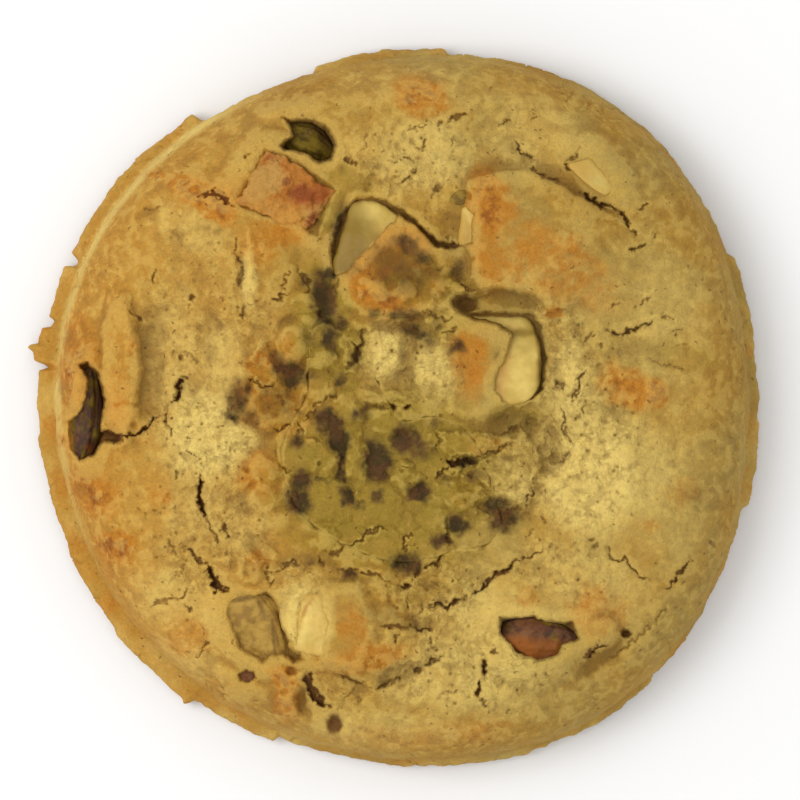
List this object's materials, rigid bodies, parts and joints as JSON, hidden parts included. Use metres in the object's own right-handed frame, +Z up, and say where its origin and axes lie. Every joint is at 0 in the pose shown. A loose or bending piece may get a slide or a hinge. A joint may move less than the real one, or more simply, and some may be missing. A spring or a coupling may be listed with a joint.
{
  "type": "pistachio cookie",
  "caption": "Thick round baked cookie with a cracked, browned top, a sunk middle of pistachio cream, white chocolate lumps and pistachio kernels, and a broken foot of crust.",
  "frame": {"origin": "centre of the cookie's flat underside, on the surface it lies on", "axes": "+Z up through the cookie's thickness; seen from above, +Y is the far side and +X is the right side of the pictured view"},
  "size_m": [0.0906, 0.09, 0.0208],
  "materials": {
    "dough": "dry baked crust, matt, browned on its ridges and paler in its cracks",
    "pistachio_cream": "soft olive-green baked cream, slightly glossy",
    "white_chocolate": "pale yellow, smooth and slightly waxy",
    "caramel_chunk": "orange-brown toasted chocolate, satin",
    "pistachio": "green kernel under a thin purple-brown skin, satin"
  },
  "bodies": {
    "root": {"dough": "dough", "pistachio_cream": "pistachio_cream", "chocolate_far": "white_chocolate", "chocolate_right": "white_chocolate", "chocolate_small": "white_chocolate", "chocolate_near": "white_chocolate", "chocolate_rim": "white_chocolate", "caramel_chunk": "caramel_chunk", "pistachio_far": "pistachio", "pistachio_left": "pistachio", "pistachio_near": "pistachio", "pistachio_pale": "pistachio", "pistachio_sliver": "pistachio", "nut_bit": "pistachio"}
  },
  "joints": []
}
